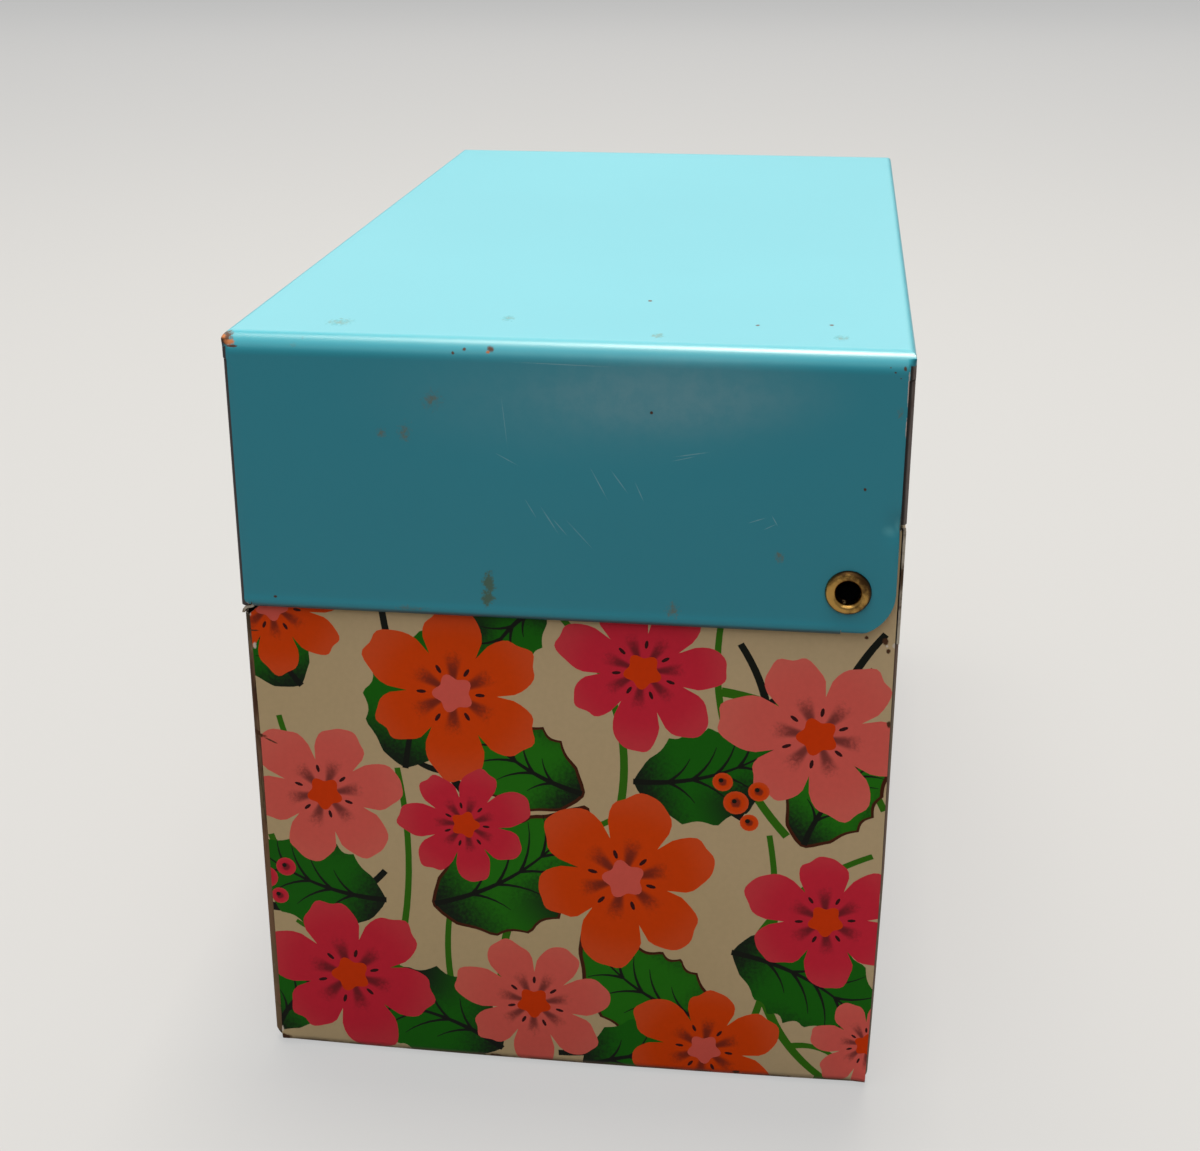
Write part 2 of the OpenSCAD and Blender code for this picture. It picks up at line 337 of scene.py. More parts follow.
def leaf(base, angle, length, width, bow, colour, scallops):
    """Scalloped almond leaf with a dark midrib and veins, and a border if it is bright."""
    way = np.array([math.cos(angle), math.sin(angle)])
    base = np.array(base, float)
    line = arc_between(base, base + length * way, bow, 41)
    f = np.linspace(0, 1, 41)
    along = np.gradient(line, axis=0)
    along /= np.linalg.norm(along, axis=1)[:, None]
    side = np.stack([-along[:, 1], along[:, 0]], 1)
    half = width / 2 * np.sin(math.pi * f ** 0.82) ** 0.9
    half = (half * (1 - 0.13 * np.abs(np.cos(math.pi * scallops * f))))[:, None]
    made = []
    if colour is leaf_bright:
        wider = half + 0.34
        reach = line + along * np.linspace(-0.3, 0.5, 41)[:, None]
        shape = np.concatenate([reach + side * wider, (reach - side * wider)[::-1]])
        made.append(dict(outline=shape, ink=border_brown, centre=base, turn=angle, size=length))
    shape = np.concatenate([line + side * half, (line - side * half)[-2:0:-1]])
    made.append(dict(outline=shape, ink=colour, centre=base, turn=angle, size=length))
    made.append(ribbon(line[:37:2], 0.75, 0.12, night_green))
    for at in (8, 14, 20, 26):
        for hand in (1, -1):
            lean = along[at] * 0.72 + hand * side[at] * 0.7
            tip = line[at] + lean * half[at] * 0.92
            made.append(ribbon(arc_between(line[at], tip, -0.08 * hand, 6), 0.42, 0.08, night_green))
    return made


def berries(centre, colour):
    made = []
    for dx, dy, r in ((0, 0, 1.5), (2.6, 1.6, 1.25), (-1.6, 2.6, 1.2), (1.6, -2.5, 1.1)):
        made.append(oval(np.array(centre) + (dx, dy), r, r, 0.0, colour, 16))
        made.append(oval(np.array(centre) + (dx - 0.2, dy + 0.2), 0.3, 0.3, 0.0, night_green, 8))
    return made


def twig(start, end, bow, colour):
    """Stem with a side shoot and a short thorn."""
    line = arc_between(start, end, bow)
    made = [ribbon(line, 1.15, 0.8, colour)]
    way = (line[-1] - line[0]) / np.linalg.norm(line[-1] - line[0])
    for at, hand, length in ((8, 1, 5.5), (14, -1, 3.2)):
        side = hand * np.array([-way[1], way[0]])
        tip = line[at] + length * (0.8 * way + 0.6 * side)
        made.append(ribbon(arc_between(line[at], tip, 0.12 * hand, 8), 0.9, 0.5, colour))
    return made


def lay(stems, twigs, leaves, blossoms, bunches):
    """Motifs in the order in which they lie one on another."""
    laid = [ribbon(arc_between(*line), 1.0, 0.7, stem_green) for line in stems]
    for draw, rows in ((twig, twigs), (leaf, leaves), (blossom, blossoms), (berries, bunches)):
        for row in rows:
            laid += draw(*row)
    return laid


def shifted(prints, across=0.0):
    """Moves a print along its panel, and up it by the lift above the floor's fold."""
    for p in prints:
        p["outline"] = p["outline"] + (across, PRINT_LIFT)
        p["centre"] = p["centre"] + (across, PRINT_LIFT)
    return prints


def spray(swap):
    """One repeat of the print, 75 mm wide: tossed blossoms, leaves and curved stems."""
    first, second = (rose, orange) if swap else (orange, rose)
    return lay(
        (((-30, -6), (-20, 40), -0.10), ((-6, -6), (-14, 22), 0.12), ((-8, 12), (8, 36), 0.16),
         ((16, -6), (24, 34), -0.10), ((22, 18), (36, 32), 0.10), ((-22, 30), (-34, 46), 0.12),
         ((6, 34), (-2, 62), -0.14), ((26, 34), (18, 62), 0.12)),
        (((-20, 12), (-36, 30), 0.12, stem_green), ((24, 12), (37, -2), -0.12, stem_green),
         ((18, 52), (37, 38), 0.14, stem_green), ((-5, 30), (-21, 60), 0.10, night_green),
         ((16, 12), (-1, 2), 0.14, night_green), ((30, 40), (36, 60), 0.1, night_green),
         ((-37, 20), (-22, 26), -0.14, night_green), ((20, 36), (20, 58), -0.16, night_green)),
        (((-22, 22), 2.75, 19, 13, 0.10, leaf_green, 6), ((-16, 22), 0.65, 23, 15, -0.10, leaf_bright, 7),
         ((-19, 40), 1.15, 21, 14, 0.08, leaf_green, 7), ((2, 38), 2.5, 17, 11, 0.1, leaf_bright, 5),
         ((8, 40), 0.35, 19, 13, -0.1, leaf_green, 6), ((20, 18), -0.55, 21, 14, 0.1, leaf_green, 7),
         ((19, 8), 2.55, 20, 13, 0.12, leaf_bright, 6), ((-8, 2), 2.9, 21, 14, -0.1, leaf_green, 7),
         ((-2, 62), -2.2, 14, 9, -0.1, leaf_green, 5), ((-31, 50), 1.9, 16, 11, 0.1, leaf_green, 5),
         ((28, 33), 0.9, 16, 10, 0.1, leaf_bright, 5), ((2, 0), 0.1, 17, 11, 0.1, leaf_green, 6),
         ((-37, 2), 0.8, 15, 10, 0.1, leaf_green, 5)),
        (((-29, 36), 9.6, 6, 0.2, pink), ((-13, 50), 10.8, 6, 0.5, first),
         ((9, 54), 9.8, 7, 0.1, second), ((-12, 33), 7.8, 7, 0.4, second),
         ((29, 47), 10.6, 6, 0.9, pink), ((7, 27), 11.4, 6, 0.3, first),
         ((31, 23), 9.4, 6, 0.6, second), ((-27, 11), 10.8, 6, 0.8, second),
         ((-4, 9), 9.4, 7, 0.2, pink), ((17, 4), 9.2, 6, 0.4, first),
         ((-34, 60), 8.8, 7, 0.3, first), ((37, 6), 7.0, 7, 0.3, pink)),
        (((20, 38), orange), ((-37, 24), rose)))


def upper_row():
    """The rear wall shows a taller band, which carries one more row of blossoms."""
    return lay(
        (((-58, 58), (-48, 78), 0.1), ((-24, 60), (-30, 79), -0.1), ((3, 60), (10, 80), 0.12),
         ((34, 62), (28, 80), -0.1), ((58, 60), (52, 79), 0.1)), (),
        (((-44, 66), 0.4, 16, 11, 0.1, leaf_green, 5), ((-8, 66), 2.6, 15, 10, -0.1, leaf_bright, 5),
         ((14, 66), 0.3, 16, 11, 0.1, leaf_green, 5), ((50, 68), 2.9, 15, 10, 0.1, leaf_bright, 5),
         ((-62, 66), 1.1, 14, 9, 0.1, leaf_green, 5)),
        (((-52, 69), 8.6, 6, 0.3, orange), ((-19, 71), 9.0, 6, 0.7, pink),
         ((4, 69), 7.8, 7, 0.2, rose), ((39, 70), 9.2, 6, 0.5, orange),
         ((62, 70), 8.0, 6, 0.1, rose)),
        (((-34, 70), rose), ((24, 72), orange)))


def spring(p):
    """The tinplate isn't dead flat: the ends swell a little above the floor and flare at
    their lower corners, the long walls are drawn in, the rear one leans in at its foot,
    and the floor's middle stands clear."""
    x, y, z = p.T
    near_end, near_wall = (np.abs(x) / BODY_X) ** 6, (np.abs(y) / BODY_Y) ** 6
    swell = 0.62 * (1 - (y / BODY_Y) ** 2) * np.exp(-((z - 6) / 26) ** 2)
    flare = 0.34 * np.exp(-((np.abs(y) - 37.2) / 1.6) ** 2 - ((z - 1.2) / 2.0) ** 2)
    dish = 0.3 * (1 - (x / BODY_X) ** 2) * np.exp(-((z - 34) / 22) ** 2)
    lean = 0.55 * np.clip(1 - z / 31, 0, 1) ** 1.3 * (y > 0)
    lift = 0.35 * (1 - (x / BODY_X) ** 2) * np.clip(1 - (y / 37) ** 2, 0, 1) * (z < 0.5)
    return np.stack([x + np.sign(x) * near_end * (swell + flare * (np.abs(x) > 67.65)),
                     y - np.sign(y) * near_wall * (dish + lean), z + lift], 1)


fold_up = turn(FLOOR_R, 90)
end_rise = [fold_up, run(RIM_Z - HEM_R - FLOOR_R), turn(HEM_R, 180), run(HEM_DROP)]
front_rise = [fold_up, run(SHOULDER_Z - FLOOR_R), turn(STEP_R, 90), turn(NECK_R, -90),
              run(RIM_Z - HEM_R - SHOULDER_Z - STEP_RISE), turn(HEM_R, 180), run(HEM_DROP)]
STEP = turn(STEP_R, 90)[0] + turn(NECK_R, -90)[0] - STEP_RISE


def body_t(z, step=0.0):
    """Length along a wall at the height z; the front's step adds to it."""
    return fold_up[0] + z - FLOOR_R + step


def hemmed(start, heading, parts, t, curled, way, flat_parts=-2):
    """A wall's line: it turns over in its hem only where curled is true."""
    hem_at = sum(length for length, bend in parts[:flat_parts])
    a, b = follow(start, heading, parts, t)
    a0, b0 = follow(start, heading, parts, np.minimum(t, hem_at))
    past = np.maximum(t - hem_at, 0)
    return np.where(curled, a, a0), np.where(curled, b, b0 + way * past)


def place_end(side):
    def place(s, t):
        x, z = hemmed((FLOOR_X, 0), 0, end_rise, t, np.abs(s) < END_SLOT - 0.05, 1)
        y = side * s
        from_pivot = np.hypot(y - PIVOT_Y, z - PIVOT_Z)
        x = x + SEAT_LIFT * np.clip((SEAT_R - from_pivot) / SEAT_LIFT, 0, 1)
        return spring(np.stack([side * x, y, z], 1))
    return place


def place_long(side, rise, tab_low, tab_high):
    """Front wall (side -1) or rear wall (side 1), with its corner folds and tabs."""
    def place(s, t):
        depth, z = hemmed((FLOOR_Y, 0), 0, rise, t, np.abs(s) < LONG_SLOT - 0.05, 1)
        folded = (t > tab_low - 0.1) & (t < tab_high + 0.1)
        across, inset = follow((FLOOR_X, 0), 0, [turn(CORNER_R, 90), run(TAB)],
                               np.abs(s) - FLOOR_X)
        bent = folded & (np.abs(s) > FLOOR_X)
        x = np.where(bent, across, np.abs(s)) * np.sign(s)
        depth = depth - np.where(bent, inset, 0)
        return spring(np.stack([-side * x, side * depth, z], 1))
    return place


def circle(across, up, radius):
    a = np.linspace(0, 2 * math.pi, 48, endpoint=False)
    return np.stack([across + radius * np.cos(a), up + radius * np.sin(a)], 1)


def mirrored(half):
    """Whole outline of a panel from its right half."""
    return half + [(-s, t) for s, t in half[::-1]]


def corner_lines(start, low, high):
    """Lines along a long wall's two upright corner folds, between two lengths."""
    return [((k * (start + t), low), (k * (start + t), high))
            for t in fold_levels([turn(CORNER_R, 90)]) for k in (1, -1)]


def on_floor_line(s, t):
    return t < 1e-6


body = SheetPart(cream)
for side in (1, -1):
    rim, hem, raw_end = body_t(RIM_Z), body_t(RIM_Z - HEM_R), sum(p[0] for p in end_rise)
    rear = [(FLOOR_Y, 0), (36.2, 0.5), (37.0, 0.7), (37.2, 1.1), (END_Y, body_t(SHOULDER_Z)),
            (END_Y, rim), (END_SLOT, rim), (END_SLOT, hem), (END_SLOT - 0.1, hem),
            (END_SLOT - 0.1, raw_end)]
    front = [(0.1 - END_SLOT, raw_end), (0.1 - END_SLOT, hem), (-END_SLOT, hem), (-END_SLOT, rim),
             (-NECK_Y, rim), (-NECK_Y, body_t(59.85)), (-36.62, body_t(58.8)),
             (-36.4, body_t(44.0)), (-36.35, 1.1), (-36.25, 0.7), (-36.15, 0.5), (-FLOOR_Y, 0)]
    outline = np.array(rear + front) * (side, 1)
    bore, *rings = [circle(side * PIVOT_Y, body_t(PIVOT_Z), radius)
                    for radius in (BODY_BORE_R, SEAT_R - SEAT_LIFT, SEAT_R)]
    lines = [((-CREASE, t), (CREASE, t)) for t in fold_levels(end_rise)]
    for ring in rings:
        lines += list(zip(ring, np.roll(ring, -1, axis=0)))
    panel = flat_panel(outline, [bore], shifted(spray(side < 0)), lines)
    body.add(panel, place_end(side), 1, on_floor_line)

for side, rise, step in ((-1, front_rise, STEP), (1, end_rise, 0.0)):
    low, high, shoulder = body_t(TAB_LOW_Z), body_t(TAB_HIGH_Z), body_t(SHOULDER_Z)
    rim, raw_end = body_t(RIM_Z, step), sum(p[0] for p in rise)
    reach = FLOOR_X + turn(CORNER_R, 90)[0] + TAB
    outline = mirrored([
        (FLOOR_X, 0), (FLOOR_X, low), (reach, low), (reach, high), (FLOOR_X, high),
        (FLOOR_X, shoulder), (BODY_X, shoulder), (BODY_X, rim), (LONG_SLOT, rim),
        (LONG_SLOT, rim - HEM_R), (LONG_SLOT - 0.1, rim - HEM_R), (LONG_SLOT - 0.1, raw_end)])
    lines = [((-reach - 1, t), (reach + 1, t)) for t in fold_levels(rise)]
    lines += corner_lines(FLOOR_X, low, high)
    prints = shifted(spray(side > 0), -REPEAT / 2) + shifted(spray(side < 0), REPEAT / 2)
    if side > 0:
        prints += shifted(upper_row())
    panel = flat_panel(outline, (), prints, lines)
    body.add(panel, place_long(side, rise, low, high), 1, on_floor_line)


def place_floor(s, t):
    return spring(np.stack([s, t, 0 * s], 1))


def rectangle(x, y):
    return [(-x, -y), (x, -y), (x, y), (-x, y)]


body.add(flat_panel(rectangle(FLOOR_X, FLOOR_Y)), place_floor, -1,
         lambda s, t: abs(s) > FLOOR_X - 1e-3 or abs(t) > FLOOR_Y - 1e-3)


def add_node(tree, kind, inputs=(), out=0, **settings):
    """Makes one node, sets or links its inputs and gives one of its outputs."""
    made = tree.nodes.new(kind)
    for key, value in settings.items():
        setattr(made, key, value)
    for key, value in inputs.items() if isinstance(inputs, dict) else enumerate(inputs):
        if isinstance(value, bpy.types.NodeSocket):
            tree.links.new(value, made.inputs[key])
        elif value is not None:
            made.inputs[key].default_value = value
    return made.outputs[out] if made.outputs else None


class Finish:
    """A material made of nodes, with short names for what its sums do."""

    def __init__(self, name):
        self.material = bpy.data.materials.new(name)
        self.material.use_nodes = True
        self.tree = self.material.node_tree
        self.tree.nodes.clear()

    def add(self, kind, inputs=(), out=0, **settings):
        return add_node(self.tree, "ShaderNode" + kind, inputs, out, **settings)

    def math(self, operation, first, *others):
        """One sum, or a chain of the same sum where there are more than two values."""
        if not others:
            return self.add("Math", (first,), operation=operation)
        for other in others:
            first = self.add("Math", (first, other), operation=operation)
        return first

    def times(self, *values):
        return self.math("MULTIPLY", *values)

    def plus(self, *values):
        return self.math("ADD", *values)

    def minus(self, *values):
        return self.math("SUBTRACT", *values)

    def most(self, *values):
        return self.math("MAXIMUM", *values)

    def over(self, value, limit):
        return self.math("GREATER_THAN", value, limit)

    def below(self, value, limit):
        return self.math("LESS_THAN", value, limit)

    def split(self, vector):
        return tuple(self.add("SeparateXYZ", (vector,)).node.outputs)

    def ramp(self, value, low, high, to_low=0.0, to_high=1.0):
        """Smooth change from to_low to to_high as value goes from low to high."""
        if low > high:
            low, high, to_low, to_high = high, low, to_high, to_low
        return self.add("MapRange", (value, low, high, to_low, to_high),
                        interpolation_type="SMOOTHSTEP")

    def mix(self, amount, first, second, blend="MIX"):
        first, second = ((*c, 1.0) if isinstance(c, tuple) else c for c in (first, second))
        return self.add("Mix", {0: amount, 6: first, 7: second}, 2,
                        data_type="RGBA", blend_type=blend)

    def noise(self, where, scale, detail=2.0, rough=0.5):
        return self.add("TexNoise", {"Vector": where, "Scale": scale, "Detail": detail,
                                     "Roughness": rough})

    def streaks(self, where, stretch):
        """Noise drawn out upright, as in metal that has run and rubbed."""
        drawn = self.add("Mapping", {"Vector": where, "Scale": (1.0, 1.0, stretch)})
        return self.noise(drawn, 900.0, 4.0, 0.7)

    def place(self):
        return self.add("TexCoord", out="Object")

    def marks(self, spots, sharp=0.5, fray=0.0, grain=1900.0):
        """Strength of a set of marks: (x, y, z), half sizes in mm, turn in degrees about X.
        Noise of that grain frays their edges by about fray times their size."""
        where = self.place()
        rough = self.times(self.minus(self.noise(where, grain, 4.0, 0.65), 0.5), fray)
        total = None
        for (x, y, z), (a, b, c), spin in spots:
            local = self.add("Mapping", {"Vector": where, "Location": (x * MM, y * MM, z * MM),
                                         "Rotation": (math.radians(spin), 0, 0),
                                         "Scale": (a * MM, b * MM, c * MM)},
                             vector_type="TEXTURE")
            reach = self.add("VectorMath", (local,), 1, operation="LENGTH")
            mask = self.ramp(self.plus(reach, rough), 1.0, sharp)
            total = mask if total is None else self.most(total, mask)
        return total

    def relief(self, height, strength, depth=0.0004):
        return self.add("Bump", {"Strength": strength, "Distance": depth, "Height": height})

    def shell(self, inputs):
        """Ends the material with a shader that has these inputs."""
        self.add("OutputMaterial", {"Surface": self.add("BsdfPrincipled", inputs)})
        return self.material


def on_end(x, rows):
    """Marks on the near end: y, z, half depth, half width, half height and turn."""
    return [((x, y, z), (deep, wide, high), spin) for y, z, deep, wide, high, spin in rows]


def bare_tin():
    """Inside of the sheet: plain tinplate, dull and lightly stained."""
    f = Finish("bare_tinplate")
    where = f.place()
    cloud = f.noise(where, 38.0, 4.0, 0.6)
    colour = f.mix(f.ramp(cloud, 0.35, 0.7), (0.50, 0.49, 0.46), (0.62, 0.61, 0.58))
    speck = f.ramp(f.noise(where, 520.0, 3.0, 0.7), 0.66, 0.74)
    colour = f.mix(speck, colour, (0.20, 0.12, 0.07))
    rough = f.ramp(cloud, 0.3, 0.7, 0.34, 0.5)
    return f.shell({"Base Color": colour, "Metallic": 0.9, "Roughness": rough})


def cut_edge():
    """Sheared edge of the sheet: grey steel that has browned in patches."""
    f = Finish("cut_edge")
    brown = f.ramp(f.noise(f.place(), 260.0, 4.0, 0.65), 0.42, 0.6)
    colour = f.mix(brown, (0.42, 0.37, 0.30), (0.10, 0.055, 0.03))
    rough = f.ramp(brown, 0.0, 1.0, 0.45, 0.8)
    return f.shell({"Base Color": colour, "Metallic": 0.55, "Roughness": rough})


def printed_tin():
    """Offset inks on a cream ground under a thin varnish, airbrushed and worn, with painted shade on the
    upright folds and a painted highlight at the rear corner under the lid.
    """
    f = Finish("printed_tin")
    paint = f.add("Attribute", out="Color", attribute_name="ink")
    kind = f.add("Attribute", out="Alpha", attribute_name="ink")
    local = f.add("UVMap", uv_map="motif")
    u, v, _ = f.split(local)
    reach = f.add("VectorMath", (local,), 1, operation="LENGTH")
    where = f.place()
    soft = f.times(f.minus(f.noise(where, 2600.0, 2.0, 0.6), 0.5), 0.22)
    # leaves: near black at the foot and along one side of the midrib
    is_leaf = f.times(f.over(kind, 0.2), f.below(kind, 0.4))
    stalk_end = f.ramp(f.plus(u, soft), 0.34, 0.02)
    flank = f.times(f.ramp(f.plus(v, soft), -0.08, -0.30), f.ramp(u, 0.2, 0.6))
    colour = f.mix(f.times(f.most(stalk_end, flank), is_leaf), paint, (0.004, 0.010, 0.003))
    # blossoms: soft dark touches on each petal close to the heart, and a pale edge
    is_petal = f.over(kind, 0.45)
    petals = f.times(f.minus(kind, PETAL), 100.0)
    beat = f.math("COSINE", f.times(f.math("ARCTAN2", v, u), petals))
    touches = f.times(f.ramp(f.plus(reach, soft), 0.52, 0.26), f.ramp(beat, -0.2, 1.0))
    colour = f.mix(f.times(touches, is_petal, 0.72), colour, (0.035, 0.010, 0.012))
    colour = f.mix(f.times(f.ramp(reach, 0.6, 1.05), is_petal, 0.04), colour, (0.95, 0.62, 0.42))
    # fine grain of the print and slow yellowing of the varnish
    grain = f.ramp(f.noise(where, 1500.0, 2.0, 0.5), 0.3, 0.7, 0.985, 1.015)
    age = f.ramp(f.noise(where, 22.0, 3.0, 0.55), 0.35, 0.7, 1.0, 0.95)
    tone = f.times(grain, age)
    colour = f.mix(1.0, colour, f.add("CombineColor", (tone, tone, f.times(tone, age))), "MULTIPLY")
    # the upright folds: ink rubbed through to browned metal, with painted shade over it, near black on
    # the front wall and darkest beside the slits
    x, y, z = f.split(where)
    out, wide = f.math("ABSOLUTE", x), f.math("ABSOLUTE", y)
    fold = f.times(f.ramp(out, 66.25 * MM, 66.35 * MM), f.ramp(out, 67.85 * MM, 67.75 * MM),
                   f.over(wide, 36.3 * MM), f.ramp(z, 59.0 * MM, 58.8 * MM))
    streaks = f.streaks(where, 0.12)
    patch = f.ramp(f.plus(f.times(z, 6.0), streaks), 0.84, 0.62)
    front = f.mix(patch, (0.05, 0.032, 0.018), (0.20, 0.125, 0.07))
    rear = f.mix(f.ramp(out, 67.15 * MM, 67.45 * MM), (0.24, 0.19, 0.15), (0.09, 0.06, 0.04))
    worn_fold_and_shade = f.mix(f.over(y, 0.0), front, rear)
    worn_fold_and_shade = f.mix(f.ramp(streaks, 0.62, 0.72), worn_fold_and_shade, (0.42, 0.36, 0.28))
    colour = f.mix(f.times(fold, f.ramp(streaks, 0.24, 0.36, 0.5, 0.96)), colour, worn_fold_and_shade)
    # wear: rubbed foot and corners, chips and rust, and one painted highlight
    rust = f.marks(on_end(BODY_X, (
        (36.0, 59.1, 1.2, 0.42, 0.6, 0), (33.9, 59.5, 1.0, 0.28, 0.28, 0),
        (36.4, 58.0, 1.0, 0.3, 0.4, 0), (36.9, 49.0, 1.0, 0.3, 0.5, 0),
        (-35.2, 42.6, 1.2, 1.1, 0.12, -25), (-36.5, 56.7, 1.2, 1.0, 0.10, 0),
        (-36.0, 1.0, 1.5, 0.9, 0.6, 0), (21.0, 0.9, 1.5, 0.7, 0.35, 0),
        (-9.0, 0.8, 1.5, 1.0, 0.3, 0))) + [((67.6, -36.9, 43.3), (1.2, 1.5, 0.35), -12)], 0.5, 1.3)
    # pale rubbed marks; the two at the rear corner just under the lid's edge are a painted highlight on
    # bare metal
    bright = f.marks(on_end(BODY_X, (
        (-36.9, 58.8, 1.4, 0.5, 0.45, 0), (36.2, 58.6, 1.2, 0.2, 0.22, 0),
        (37.0, 58.7, 1.4, 0.3, 0.4, 0), (-36.3, 54.8, 1.0, 0.3, 0.5, 0),
        (-36.3, 2.2, 1.5, 0.25, 0.6, 0))), 0.4, 1.4)
    foot = f.times(f.ramp(z, 1.25 * MM, 0.5 * MM),
                   f.ramp(f.noise(where, 330.0, 4.0, 0.7), 0.36, 0.52, 0.25, 0.9))
    for amount, tint in ((foot, (0.13, 0.08, 0.045)), (rust, (0.085, 0.035, 0.016)),
                         (bright, (0.72, 0.62, 0.52))):
        colour = f.mix(amount, colour, tint)
    rough = f.plus(0.39, f.times(f.most(foot, rust, fold), 0.3))
    height = f.minus(f.noise(where, 95.0, 2.0, 0.5), f.times(f.most(rust, bright), 0.2))
    return f.shell({"Base Color": colour, "Roughness": rough, "IOR": 1.2,
                    "Normal": f.relief(height, 0.12)})


inside_finish, edge_finish = bare_tin(), cut_edge()
body_piece = body.make("body", printed_tin(), inside_finish, edge_finish)
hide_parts("body_shell")
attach(body_piece, "body")

# Lid. A second sheet, enamelled turquoise: its top folds down all round, mitred at the
# corners and slit below, with hems along the lower edges and the long walls' tabs behind
# the end panels. The rear corners are rounded about the pivot.
LID_X, LID_Y, LID_Z = 69.0, 37.5, 92.0
END_R, LONG_R = 2.4, 0.9
SEAM_Z, BACK_Z, CAP_Z = 60.0, 73.0, 89.2
SLIT = 0.7
LID_FLAT_X = 67.6    # where the long walls' corner folds begin
LID_SLOT = 66.6      # where the long walls' hems end
HEM_REAR_Y = 31.0    # where an end's hem stops at the rear
REAR_R = 5.2         # rounded rear corner
ROUND_X = LID_X - CORNER_R - 0.01    # lines drawn just before the closed corners round
ROUND_Y = LID_Y - CORNER_R - 0.01
LID_BORE_R = 1.64
LID_TAB_RISE = 3.6   # how far a tab's lower end stands above the wall's edge
TAB_TOP = CAP_Z - 0.2
TOP_X, TOP_Y = LID_X - END_R, LID_Y - LONG_R
PANEL_Y = LID_Y - SLIT


def lid_spring(p):
    """Rounds the closed corners in plan. The lid's top dishes slightly, its ends swell, and
    their lower edge flares a hair above its hem. One knock dents the rear of an end."""
    x, y, z = p.T
    over_x, over_y = np.abs(x) - LID_X + CORNER_R, np.abs(y) - LID_Y + CORNER_R
    past = np.hypot(over_x, over_y)
    cut = np.where((over_x > 0) & (over_y > 0) & (past > CORNER_R), 1 - CORNER_R / past, 0)
    x, y = x - np.sign(x) * cut * over_x, y - np.sign(y) * cut * over_y
    dish = 0.22 * np.clip(1 - (x / TOP_X) ** 2, 0, 1) * np.clip(1 - (y / TOP_Y) ** 2, 0, 1)
    dish = dish * (z > 91)
    outer = np.clip((np.abs(x) - 60) / 9, 0, 1) ** 4
    swell = 0.16 * (1 - (y / LID_Y) ** 2) * np.exp(-((z - 76) / 9) ** 2)
    ahead = np.clip((36 - y) / 4, 0, 1)
    flare = 0.09 * np.exp(-((z - 60.95) / 0.5) ** 2) * ahead
    dent = -0.3 * np.exp(-(((y - 36.5) / 1.2) ** 2 + ((z - 72.9) / 1.5) ** 2)) * (x > 68.4)
    hollow = 0.25 * np.clip(1 - (x / TOP_X) ** 2, 0, 1) * np.exp(-((z - 75) / 9) ** 2)
    hollow = hollow * (np.abs(y) / LID_Y) ** 6
    return np.stack([x + np.sign(x) * outer * (swell + flare + dent),
                     y - np.sign(y) * hollow, z - dish], 1)


# an end's hem starts as a soft roll under and closes in a tighter fold
ROLL_R, ROLL_TURN, CURL_R = 0.8, 60.0, 0.31
ROLL_DROP = CURL_R + (ROLL_R - CURL_R) * math.sin(math.radians(ROLL_TURN))
RAW_RISE = 0.4   # the corners' unhemmed edge stands a little higher than the roll
end_hem = [turn(ROLL_R, -ROLL_TURN), turn(CURL_R, ROLL_TURN - 180), run(HEM_DROP)]
end_drop = [turn(END_R, -90), run(LID_Z - END_R - SEAM_Z - ROLL_DROP), *end_hem]
front_drop = [turn(LONG_R, -90), run(LID_Z - LONG_R - SEAM_Z - HEM_R), turn(HEM_R, -180),
              run(HEM_DROP)]
back_drop = [turn(LONG_R, -90), run(LID_Z - LONG_R - BACK_Z - HEM_R), turn(HEM_R, -180),
             run(HEM_DROP)]


def length_down(radius, z):
    """Length from the top's edge down to the height z, round a fold of that radius."""
    drop = LID_Z - z
    if drop >= radius:
        return radius * math.pi / 2 + drop - radius
    return radius * math.acos(1 - drop / radius)


def cap_reach(radius, outer, z):
    """How far out a folded edge has got at the height z."""
    drop = min(LID_Z - z, radius)
    return outer - radius + math.sqrt(max(radius ** 2 - (radius - drop) ** 2, 0.0))


cap_levels = sorted({LID_Z - radius * (1 - math.cos(math.radians(11.25 * k)))
                     for radius in (END_R, LONG_R) for k in range(9)} | {CAP_Z}, reverse=True)


def place_lid_end(side):
    def place(s, t):
        y = side * s
        curled = (y > -35.95) & (y < HEM_REAR_Y)
        x, z = hemmed((LID_X - END_R, LID_Z), 0, end_drop, t, curled, -1, -3)
        return lid_spring(np.stack([side * x, y, z], 1))
    return place


def place_lid_long(side, drop):
    def place(s, t):
        depth, z = hemmed((TOP_Y, LID_Z), 0, drop, t, np.abs(s) < LID_SLOT, -1)
        across, inset = follow((LID_FLAT_X, 0), 0, [turn(CORNER_R, 90), run(TAB)],
                               np.abs(s) - LID_FLAT_X)
        bent = (t > length_down(LONG_R, TAB_TOP + 0.1)) & (np.abs(s) > LID_FLAT_X)
        x = np.where(bent, across, np.abs(s)) * np.sign(s)
        depth = depth - np.where(bent, inset, 0)
        return lid_spring(np.stack([-side * x, side * depth, z], 1))
    return place


def on_mitre(radius, reach):
    """True on the top's edge and along the mitre that joins two folded edges."""
    last = length_down(radius, CAP_Z)
    return lambda s, t: t < 1e-6 or (t < last + 1e-4 and abs(s) > reach - 1e-3)


